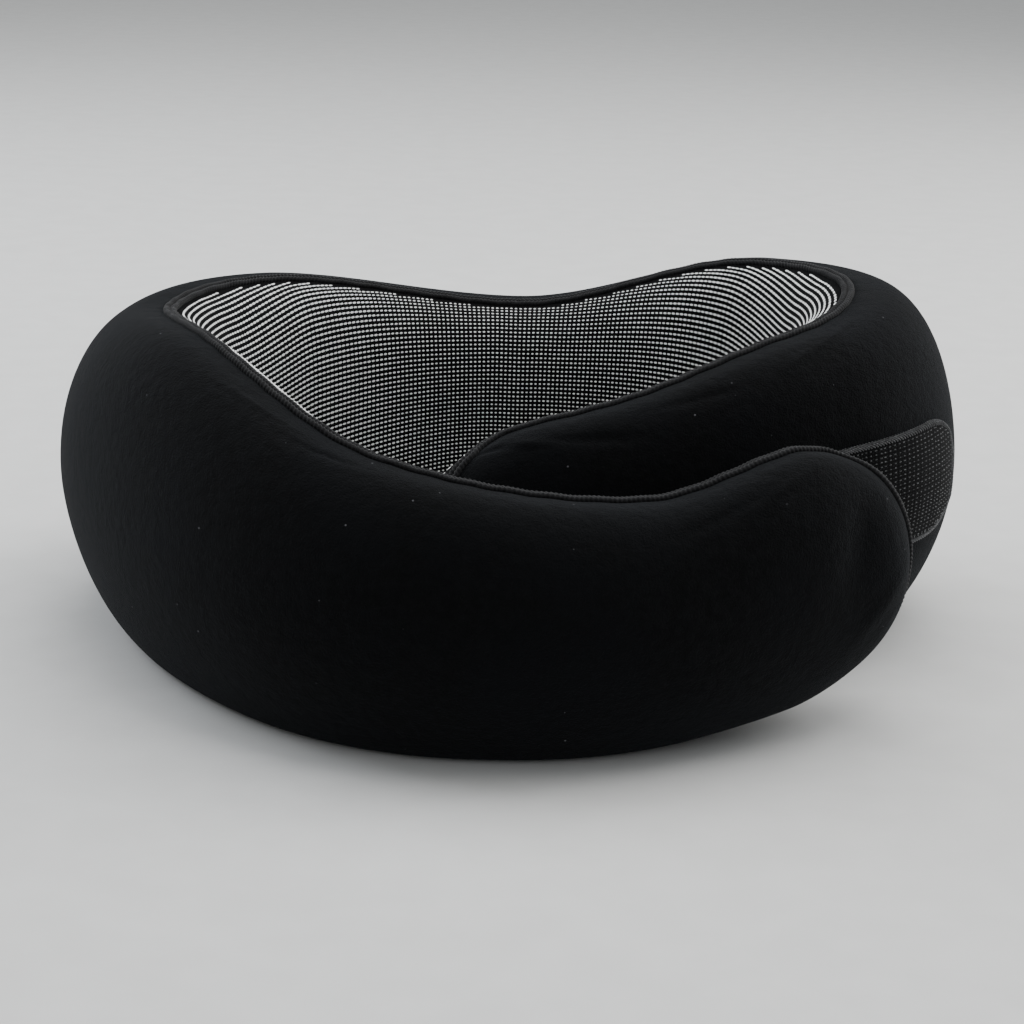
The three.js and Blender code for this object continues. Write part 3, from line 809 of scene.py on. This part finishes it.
def dot_places(side):
    """The dots' distances along the side, angles round it, steps to the next column, and row pitches."""
    s = np.linspace(0, side.length, 1400)
    run = run_along(side.raw(s, np.full_like(s, 180.0)))
    columns = np.interp(np.arange(DOT_PITCH / 2, run[-1] - TIP_MARGIN, DOT_PITCH), run, s)
    # The section's angle races past its flat middle, so the steps are closest there.
    middle_steps = 180 + 3 * np.linspace(-1, 1, 61) ** 3
    angles = np.union1d(np.linspace(PIPING_TOP, PIPING_BOTTOM, 260), middle_steps)
    grid_s, grid_a = np.meshgrid(columns, angles, indexing="ij")
    section = side.raw(grid_s, grid_a)
    steps = np.linalg.norm(np.diff(section, axis=1), axis=2)
    across = np.concatenate([np.zeros((len(columns), 1)), np.cumsum(steps, axis=1)], axis=1)
    middle = np.array([np.interp(180.0, angles, row) for row in across])
    across -= middle[:, None]
    pitch = DOT_PITCH * (1 + ROWS_SPREAD * ease(columns, 12, 90))
    margin = np.interp(columns, [0, 120, 175, 240], [BACK_MARGIN, BACK_MARGIN, ARM_MARGIN, ARM_MARGIN])
    gap = np.gradient(columns)
    drop = ROWS_DROP * ease(columns, 5, 130)
    falls = np.gradient(drop)
    found = []
    for k, column in enumerate(columns):
        rows = np.arange(-MOST_ROWS, MOST_ROWS) * pitch[k] + drop[k]
        rows = rows[(rows > across[k, 0] + margin[k]) & (rows < across[k, -1] - margin[k])]
        angle = np.interp(rows, across[k], angles)
        turn = np.interp(rows + falls[k], across[k], angles) - angle
        same = np.ones(len(rows))
        found.append(np.stack([same * column, angle, same * gap[k], turn, same * pitch[k]], 1))
    return np.concatenate(found)


def domes(side, s, angle, ahead, turn_ahead, half_long, half_wide, height, proud):
    """Small domes on the fabric, each lengthened towards the place ahead of it."""
    base, normal = side.surface(s, angle, proud=proud)
    to_next, _ = side.surface(np.minimum(s + ahead, side.length), angle + turn_ahead, proud=proud)
    along = to_next - base
    along -= (along * normal).sum(1, keepdims=True) * normal
    spacing = np.linalg.norm(along, axis=1, keepdims=True)
    along = unit(along)
    across = np.cross(normal, along)
    size = 1 + rng.uniform(-0.08, 0.08, len(s))[:, None]
    turn = np.linspace(0, 2 * math.pi, DOT_SIDES, endpoint=False)
    long = (along * size * spacing * half_long)[:, None]
    wide = (across * size * half_wide)[:, None]
    rim = base[:, None] + np.cos(turn)[None, :, None] * long + np.sin(turn)[None, :, None] * wide
    points = np.concatenate([rim, (base + normal * height)[:, None]], axis=1)
    fan = np.array([[k, (k + 1) % DOT_SIDES, DOT_SIDES] for k in range(DOT_SIDES)])
    faces = (np.arange(len(s))[:, None, None] * (DOT_SIDES + 1) + fan[None]).reshape(-1, 3)
    return points, faces


def knit_dots(side):
    """The raised white dots, which run into lines of white where the knit is stretched round the sides."""
    s, angle, gap, turn, pitch = dot_places(side).T
    stretched = ease(s, 25, 90)[:, None]
    half_long = 0.31 + 0.22 * stretched
    half_wide = (pitch * 0.22)[:, None]
    points, faces = domes(side, s, angle, gap, turn, half_long, half_wide, DOT_HEIGHT, 0.02)
    piece = add_mesh(f"neck_dots_{side.name}", points, faces, DOTS)
    bend(piece, side)


# ---- Piping ----

CORD_RADIUS = 0.95
CORD_ASIDE = 1.0  # each of the two cords lies this far beside the seam
CORD_PROUD = 0.75
CORD_STEP = 0.34
CORD_SIDES = 10
RIB_PITCH = 1.3
RIB_HEIGHT = 0.16  # as a share of the cord's radius


def seam_path(side):
    """The seam's run down one side: out along the top, round the tip and back along the bottom."""
    s = stations(side, 2.0, side.length - SEAM_CLOSES)
    top, low = side.seams(s)
    upper, upper_normal = side.surface(s, top)
    lower, lower_normal = side.surface(s[:-1], low[:-1])
    return np.concatenate([upper, lower[::-1]]), np.concatenate([upper_normal, lower_normal[::-1]])


def piping(side):
    """Two ribbed cords side by side over the seam."""
    path, normal = seam_path(side)
    both = resample(np.concatenate([path, normal], axis=1), CORD_STEP)
    path, normal = soften(both[:, :3], 12), soften(both[:, 3:], 40)
    normal = unit(normal)
    across = np.cross(unit(np.gradient(path, axis=0)), normal)
    cords = []
    for way in (-1, 1):
        line = path + normal * CORD_PROUD + across * CORD_ASIDE * way
        line[:, 2] = np.maximum(line[:, 2], CORD_RADIUS * 1.2)
        cords.append(tube(line, normal, CORD_RADIUS, CORD_SIDES, RIB_HEIGHT, RIB_PITCH, way))
    piece = add_mesh(f"piping_{side.name}", *join(cords), PIPING)
    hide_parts("piping_top_back", "piping_bottom_back", f"piping_{side.name}")
    bend(piece, side)


# ---- Hook-and-loop fastener ----

LOOP_PATCH = {"from": 161, "to": 230, "low": -16, "high": 25, "corner": 11.0}
HOOK_PATCH = {"from": 374, "to": 422, "low": 158, "high": 202, "corner": 6.0}


def patch_grid(side, spec, count_s, count_a, inset=0.0):
    """Places on a patch with round corners: distances, angles, and x and y from the patch's middle."""
    long = spec["to"] - spec["from"]
    middle = (spec["from"] + spec["to"]) / 2
    probe = side.raw(np.array([middle, middle]), np.array([spec["low"], spec["high"]], float))
    tall = np.linalg.norm(probe[1] - probe[0])
    u = np.linspace(-1, 1, count_s)
    x = u * (long / 2 - inset)
    radius = spec["corner"]
    edge = np.clip((np.abs(x) - (long / 2 - radius)) / radius, 0, 1)
    half = tall / 2 - inset - radius * (1 - np.sqrt(1 - edge**2))
    v = np.linspace(-1, 1, count_a)
    y = half[:, None] * v[None]
    x = np.broadcast_to(x[:, None], y.shape)
    angle = (spec["low"] + spec["high"]) / 2 + y / tall * (spec["high"] - spec["low"])
    return middle + x, angle, x, y


def patch_outline(side, spec, inset, step):
    """The patch's edge as an even run of (distance, angle) pairs."""
    s, angle, _, _ = patch_grid(side, spec, 80, 80, inset)
    edge_s, edge_a = (
        np.concatenate([grid[:, 0], grid[-1, 1:], grid[::-1, -1][1:], grid[0, ::-1][1:]])
        for grid in (s, angle)
    )
    points, _ = side.surface(edge_s, edge_a)
    packed = resample(np.concatenate([points, edge_s[:, None], edge_a[:, None]], axis=1), step)
    return packed[:, 3], packed[:, 4]


def patch_cloth(side, spec, name, material, slot, node, thick, nap):
    """A patch of tape lying on the cover, with a napped face."""
    s, angle, x, y = patch_grid(side, spec, 170, 120)
    from_end, from_side = (1 - np.abs(np.linspace(-1, 1, count)) for count in s.shape)
    rim = np.minimum(1, np.minimum(from_end[:, None] * 24, from_side[None] * 16))
    wave_a, wave_b = (np.sin(run * 2 * math.pi / NET_PITCH) for run in (x + y, x - y))
    weave = 0.5 + 0.5 * wave_a * wave_b
    lift = 0.15 + (thick + nap * weave) * rim**0.5
    outer, _ = side.surface(s, angle, proud=lift)
    inner, _ = side.surface(s, angle, proud=0.05)
    piece = add_sheet(name, outer, inner, side.sign, material, x, y)
    fasten(piece, slot, side.name, node)


def edge_stitches(side, spec, name, pitch, reach, radius, lift):
    """Whip stitches over the patch's edge: short threads from outside the edge to inside it."""
    out_s, out_a = patch_outline(side, spec, -reach * 0.45, pitch)
    count = len(out_s)
    in_s, in_a = patch_outline(side, spec, reach * 0.9, pitch)
    pick = np.linspace(0, len(in_s) - 1, count)
    in_s = np.interp(pick, np.arange(len(in_s)), in_s)
    in_a = np.interp(pick, np.arange(len(in_a)), in_a)
    parts = []
    steps = np.linspace(0, 1, 6)
    arch = lift * np.sin(steps * math.pi) ** 0.5 + 0.05
    for k in range(count - 1):
        s = out_s[k] + (in_s[k - 1] - out_s[k]) * steps
        a = out_a[k] + (in_a[k - 1] - out_a[k]) * steps
        line, normal = side.surface(s, a, proud=arch)
        parts.append(tube(line, normal, radius, 6))
    piece = add_mesh(name, *join(parts), THREAD)
    fasten(piece, "loop", side.name)


def loop_ends(side, spec):
    """The loop tape's knit: a close lattice of raised yarn ends."""
    pitch = 1.3
    s, angle, x, y = patch_grid(side, spec, 200, 120, 1.6)
    cells = np.round(np.stack([x, y], -1) / pitch)
    _, first = np.unique(cells.reshape(-1, 2), axis=0, return_index=True)
    s, angle = s.ravel()[first], angle.ravel()[first]
    ones = np.ones((len(s), 1))
    points, faces = domes(side, s, angle, pitch, 0.0, 0.26 * ones, 0.26 * ones, 0.35, 1.0)
    piece = add_mesh("loop_patch_knit", points, faces, LOOP_ENDS)
    fasten(piece, "loop", side.name)


def hooks(side, spec):
    """Rows of small nylon hooks on the hook patch."""
    s, angle, _, _ = patch_grid(side, spec, 30, 22, 2.0)
    parts = []
    bow = np.linspace(0, math.pi * 1.25, 7)
    base, normal = side.surface(s.ravel(), angle.ravel(), proud=0.9)
    ahead, _ = side.surface(s.ravel() + 0.5, angle.ravel(), proud=0.9)
    along = unit(ahead - base)
    for k, (b, n, a) in enumerate(zip(base, normal, along)):
        way = 1 if k % 2 else -1
        rise = 0.55 * np.sin(bow)[:, None] + 0.25
        reach = 0.34 * (1 - np.cos(bow))[:, None]
        line = b + n * rise + a * way * reach
        line[0] = b
        parts.append(tube(line, np.broadcast_to(np.cross(n, a), line.shape), 0.13, 6))
    piece = add_mesh("hook_patch_hooks", *join(parts), HOOK)
    fasten(piece, "hook", side.name)


# ---- Zip ----

ZIP_HALF_ANGLE = 21.0
CHAIN_HALF_ANGLE = 19.5
ZIP_Z = 23.0
TAPE_WIDTH = 8.0
TAPE_THICK = 0.8
CHAIN_WIDTH = 1.5
ZIP_OFF = 0.5
ZIP_REACH = TAPE_WIDTH + CHAIN_WIDTH
TOOTH_PITCH = 1.2


def wall_radius(z):
    _, _, _, middle, high, thick = LONG.place(0.0)
    low = abs((z - middle) / high)
    return BACK_ARC[0] + (1 - low**ROUND_OUTER_BOTTOM) ** (1 / ROUND_OUTER_BOTTOM) * thick


ZIP_CENTRE = np.array([0.0, BACK_Y - BACK_ARC[0]]) + ORIGIN
ZIP_LEAN = math.atan2(wall_radius(ZIP_Z + ZIP_REACH) - wall_radius(ZIP_Z - ZIP_REACH), 2 * ZIP_REACH)
ZIP_RADIUS = wall_radius(ZIP_Z) + ZIP_OFF
SLIDER_AT = -(CHAIN_HALF_ANGLE - 1.6)
BRIDGE_OUT = 4.4


def zip_point(degrees, up, out):
    """The place at an angle along the zip, up the wall from its teeth, and out from its tapes' backs."""
    degrees, up, out = np.broadcast_arrays(*(np.asarray(v, float) for v in (degrees, up, out)))
    radius = ZIP_RADIUS + up * math.sin(ZIP_LEAN) + out * math.cos(ZIP_LEAN)
    z = ZIP_Z + up * math.cos(ZIP_LEAN) - out * math.sin(ZIP_LEAN)
    turn = np.radians(degrees)
    return np.stack([ZIP_CENTRE[0] - radius * np.sin(turn), ZIP_CENTRE[1] + radius * np.cos(turn), z], -1)


def degrees_for(length):
    return math.degrees(length / ZIP_RADIUS)


def length_for(degrees):
    return degrees * ZIP_RADIUS * math.pi / 180


def zip_tape(name, side):
    """A woven tape with a raised edge beside the teeth, sewn down along its outer edge."""
    near, far = 0.2 * side, ZIP_REACH * side
    along = np.linspace(-ZIP_HALF_ANGLE, ZIP_HALF_ANGLE, 260)
    up = np.linspace(near, far, 26)
    grid_a, grid_u = np.meshgrid(along, up, indexing="ij")
    t = np.abs(grid_u) / abs(far)
    weave = 0.05 * np.sin(grid_u * 2 * math.pi / 0.9)
    raised = 0.25 * np.exp(-(((t - 0.25) / 0.08) ** 2))
    out = TAPE_THICK * (0.55 + raised + weave) - 0.9 * np.clip(t - 0.9, 0, 1)
    outer = zip_point(grid_a, grid_u, out)
    inner = zip_point(grid_a, grid_u, -0.3)
    piece = add_sheet(f"zip_tape_{name}_weave", outer, inner, side, TAPE, length_for(grid_a), grid_u)
    fasten(piece, "tape", "back", f"zip_tape_{name}")


def zip_coil(name, side):
    """One half of the nylon coil: closed loops that reach past the middle between the other half's."""
    count = int(length_for(2 * CHAIN_HALF_ANGLE) / TOOTH_PITCH)
    shift = TOOTH_PITCH / 2 if side > 0 else 0.0
    loop = np.linspace(0, 2 * math.pi, 13)
    parts = []
    for k in range(count):
        centre = -CHAIN_HALF_ANGLE + degrees_for(k * TOOTH_PITCH + shift + 0.4)
        up = side * (0.95 - 1.15 * np.cos(loop))
        out = 1.05 + 0.55 * np.sin(loop)
        degrees = centre + math.degrees(0.14 / ZIP_RADIUS) * np.sin(loop)
        line = zip_point(degrees, up, out)
        onward = zip_point(centre + 1, 0, 1) - zip_point(centre, 0, 1)
        parts.append(tube(line, np.broadcast_to(onward, line.shape), 0.3, 6))
    run = np.linspace(-CHAIN_HALF_ANGLE, CHAIN_HALF_ANGLE, 180)
    core = zip_point(run, side * 1.2, 1.05)
    parts.append(tube(core, zip_point(run, side * 1.2, 2.05) - core, 0.34, 8))
    piece = add_mesh(f"zip_coil_{name}", *join(parts), COIL)
    fasten(piece, "teeth", "back", f"zip_chain_{name}")


def rounded_block(name, middle, half, low, high, inner, outer, bevel):
    """A lacquered block that follows the zip's curve, with round edges. middle and half are degrees."""
    along = np.linspace(middle - half, middle + half, 9)
    corners = np.array([[low, inner], [high, inner], [high, outer], [low, outer]])
    rings = [zip_point(a, corners[:, 0], corners[:, 1]) for a in along]
    points = np.concatenate(rings)
    faces = grid_faces(len(along), 4, close_columns=True)
    last = (len(along) - 1) * 4
    faces = np.concatenate([faces, [[3, 2, 1, 0]], [[last, last + 1, last + 2, last + 3]]])
    piece = add_mesh(name, points, faces, LACQUER)
    round_edges(piece, bevel)
    return piece


def round_edges(piece, width):
    bevel = piece.modifiers.new("round", "BEVEL")
    bevel.width = width * MM
    bevel.segments = 3
    bevel.limit_method = "ANGLE"
    bevel.angle_limit = math.radians(40)
    bpy.context.view_layer.update()
    mesh = bpy.data.meshes.new_from_object(evaluated(piece))
    piece.modifiers.clear()
    piece.data = mesh


def merge(name, pieces):
    """Joins objects into the first, under a new name."""
    bpy.ops.object.select_all(action="DESELECT")
    for piece in pieces:
        piece.select_set(True)
    bpy.context.view_layer.objects.active = pieces[0]
    bpy.ops.object.join()
    pieces[0].name = name
    return pieces[0]


def zip_slider():
    """The slider: a top plate, two flanges that grip the coil, and a staple for the pull tab."""
    half = degrees_for(4.4)
    plate = rounded_block("plate", SLIDER_AT, half, -3.5, 3.5, 2.0, 2.85, 0.35)
    sides = ((-3.5, -2.3), (2.3, 3.5))
    flanges = [rounded_block("flange", SLIDER_AT, half, low, high, 1.25, 2.2, 0.2) for low, high in sides]
    bow = np.linspace(0, math.pi, 17)
    spread = degrees_for(2.3)
    line = zip_point(SLIDER_AT - spread * np.cos(bow), 0.0, 2.7 + 2.1 * np.sin(bow) ** 0.7)
    across = zip_point(SLIDER_AT, 1.0, 0.0) - zip_point(SLIDER_AT, 0.0, 0.0)
    points, faces = tube(line, np.broadcast_to(across, line.shape), 0.55, 10)
    staple = add_mesh("staple", points, faces, LACQUER)
    piece = merge("zip_slider_body", [plate, *flanges, staple])
    fasten(piece, "zip_metal", "zip_slider", "zip_slider")


def arc(radius, start, end, count, middle=0.0):
    """Points of an arc from one angle in degrees to another, about a place on the x axis."""
    turn = np.radians(np.linspace(start, end, count))
    return np.stack([middle + radius * np.cos(turn), radius * np.sin(turn)], 1)


def pull_outline():
    """The tab's outline: an eye, a narrow neck and a wider rounded grip."""
    eye = arc(1.9, 40, 320, 21)
    grip = arc(2.4, -90, 90, 15, 18.6)
    neck_low = [(4.0, -1.0), (8.0, -1.9)]
    neck_high = [(8.0, 1.9), (4.0, 1.0)]
    return np.concatenate([eye, neck_low, grip, neck_high])


def zip_pull():
    """The pull tab, hanging back along the closed zip from the slider's staple."""
    curve = bpy.data.curves.new("pull", "CURVE")
    curve.dimensions = "2D"
    curve.fill_mode = "BOTH"
    curve.extrude = 0.45
    curve.bevel_depth = 0.22
    curve.bevel_resolution = 3
    hole = arc(0.95, 0, 342, 20)
    slot = arc(0.8, 0, 342, 20)
    slot = slot + np.where(slot[:, :1] > 0, [[18.4, 0]], [[12.0, 0]])
    for ring in (pull_outline(), hole, slot):
        spline = curve.splines.new("POLY")
        spline.points.add(len(ring) - 1)
        for point, (x, y) in zip(spline.points, ring):
            point.co = (x, y, 0, 1)
        spline.use_cyclic_u = True
    flat = add_object("pull", curve)
    bpy.context.view_layer.update()
    mesh = bpy.data.meshes.new_from_object(evaluated(flat))
    bpy.data.objects.remove(flat)
    pivot = zip_point(SLIDER_AT, 0.0, BRIDGE_OUT)
    up = zip_point(SLIDER_AT, 1.0, BRIDGE_OUT) - pivot
    out = zip_point(SLIDER_AT, 0.0, BRIDGE_OUT + 1) - pivot
    back = unit(np.cross(up, out))
    droop = math.radians(4)
    lie = back * math.cos(droop) - out * math.sin(droop)
    face = np.cross(lie, up)
    axes = np.stack([lie, up, face], 1)
    co = np.empty(len(mesh.vertices) * 3)
    mesh.vertices.foreach_get("co", co)
    co = (co.reshape(-1, 3) @ axes.T + pivot) * MM
    mesh.vertices.foreach_set("co", co.ravel())
    mesh.materials.clear()
    mesh.materials.append(LACQUER)
    mesh.update()
    piece = add_object("zip_pull_tab", mesh)
    fasten(piece, "zip_metal", "zip_pull", "zip_pull")


def zip_stops():
    for name, side in (("start", 1), ("end", -1)):
        middle = side * (CHAIN_HALF_ANGLE + 0.5)
        piece = rounded_block(f"zip_stop_{name}_clip", middle, degrees_for(1.0), -1.6, 1.6, 0.0, 1.7, 0.3)
        fasten(piece, "zip_metal", "back", f"zip_stop_{name}")


def zip_seam_stitches():
    """A row of stitches along each tape's outer edge."""
    parts = []
    pitch, stitch = 2.6, 1.8
    row = CHAIN_WIDTH + TAPE_WIDTH * 0.86
    for side in (1, -1):
        for k in range(int(length_for(2 * ZIP_HALF_ANGLE) / pitch)):
            start = -ZIP_HALF_ANGLE + degrees_for(k * pitch + 0.5)
            run = np.linspace(start, start + degrees_for(stitch), 5)
            out = TAPE_THICK * 0.5 + 0.22 * np.sin(np.linspace(0, math.pi, 5))
            line = zip_point(run, side * row, out)
            lift = zip_point(run, side * row, out + 1) - line
            parts.append(tube(line, lift, 0.17, 6))
    piece = add_mesh("zip_seam_stitches", *join(parts), THREAD)
    fasten(piece, "tape", "back")


# ---- Care label ----

LABEL_SPEC = {"from": 74, "to": 96, "low": -52, "high": -22, "corner": 0.8}


def care_label():
    """A blank satin ribbon, sewn flat along its upper edge and a little lifted at its lower one."""
    s, angle, x, y = patch_grid(LONG, LABEL_SPEC, 60, 60)
    down = (y.max() - y) / (y.max() - y.min())
    lift = 0.25 + 0.9 * down**2 + 0.12 * np.sin(x / 2.4) * down
    outer, _ = LONG.surface(s, angle, proud=lift + 0.22)
    inner, _ = LONG.surface(s, angle, proud=lift)
    piece = add_sheet("care_label_ribbon", outer, inner, LONG.sign, LABEL, x, y)
    fasten(piece, "label", "back", "care_label")


# ---- Camera, floor and light ----

CAMERA_DISTANCE = 720.0
CAMERA_ELEVATION = math.radians(15.5)
CAMERA_DROP = math.radians(2.13)
CAMERA_ROLL = math.radians(1.8)
FOCAL_PER_WIDTH = 2.2505
AIM_Z = 60.0
FLOOR_HALF = 20000.0


def camera():
    data = bpy.data.cameras.new("camera")
    data.sensor_width = 36.0
    data.lens = data.sensor_width * FOCAL_PER_WIDTH
    eye = add_object("camera", data)
    back = CAMERA_DISTANCE * math.cos(CAMERA_ELEVATION)
    rise = CAMERA_DISTANCE * math.sin(CAMERA_ELEVATION)
    eye.location = Vector((ORIGIN[0], ORIGIN[1] - back, AIM_Z + rise)) * MM
    look = Matrix.Rotation(math.pi / 2 - CAMERA_ELEVATION - CAMERA_DROP, 4, "X")
    eye.rotation_euler = (look @ Matrix.Rotation(CAMERA_ROLL, 4, "Z")).to_euler()
    bpy.context.scene.camera = eye


def floor():
    n = Nodes("pale_floor")
    grain = n.noise(n.place(), 60, 3)
    colour = n.mix(n.ramp(grain, 0.2, 0.8), (0.70, 0.70, 0.685), (0.74, 0.74, 0.725))
    material = n.finish(colour, 0.7)
    size = FLOOR_HALF
    corners = [(-size, -size, 0), (size, -size, 0), (size, size, 0), (-size, size, 0)]
    add_mesh("floor", corners, [[0, 1, 2, 3]], material)


def softbox(name, place, aim, size, power, colour=(1, 1, 1)):
    data = bpy.data.lights.new(name, "AREA")
    data.shape = "RECTANGLE"
    data.size, data.size_y = size
    data.energy = power
    data.color = colour
    lamp = add_object(name, data)
    lamp.location = place
    lamp.rotation_euler = (Vector(aim) - Vector(place)).to_track_quat("-Z", "Y").to_euler()


def studio():
    world = bpy.data.worlds.new("studio")
    world.use_nodes = True
    world.node_tree.nodes["Background"].inputs["Color"].default_value = (0.86, 0.88, 0.90, 1)
    world.node_tree.nodes["Background"].inputs["Strength"].default_value = 0.55
    bpy.context.scene.world = world
    centre = (0, 0, 0.06)
    softbox("overhead", (0.15, 0.25, 1.3), centre, (1.4, 1.0), 16)
    softbox("left_back", (-1.1, 0.5, 0.8), centre, (0.8, 0.8), 12, (0.9, 0.94, 1.0))
    softbox("right_back", (1.1, 0.6, 0.8), centre, (0.7, 0.9), 12)


# ---- The whole pillow ----


def build():
    camera()
    for side in SIDES:
        settle(side)
        inner_body(side, FOAM_DEPTH, f"foam_{side.name}", FOAM, "foam_core")
        inner_body(side, LINER_DEPTH, f"liner_{side.name}", LINER, "inner_liner")
        grid = cover_grid(side, COVER_STEP, 90)
        sewn_panel(side, *grid, f"cover_{side.name}", COVER, "cover", "outer_cover")
        grid = knit_grid(side, COVER_STEP, 64)
        sewn_panel(side, *grid, f"neck_knit_{side.name}", GROUND, "panel", "neck_panel")
        knit_dots(side)
        piping(side)
    patch_cloth(SHORT, LOOP_PATCH, "loop_patch_tape", LOOP, "loop", "loop_patch", thick=0.75, nap=0.35)
    loop_ends(SHORT, LOOP_PATCH)
    edge_stitches(SHORT, LOOP_PATCH, "loop_patch_stitching", pitch=1.4, reach=1.5, radius=0.19, lift=1.3)
    patch_cloth(LONG, HOOK_PATCH, "hook_patch_tape", HOOK, "hook", "hook_patch", thick=0.7, nap=0.1)
    edge_stitches(LONG, HOOK_PATCH, "hook_patch_stitching", pitch=1.6, reach=2.0, radius=0.2, lift=1.0)
    hooks(LONG, HOOK_PATCH)
    for name, side in (("upper", 1), ("lower", -1)):
        zip_tape(name, side)
        zip_coil(name, side)
    zip_slider()
    zip_pull()
    zip_stops()
    zip_seam_stitches()
    care_label()
    floor()
    studio()


build()
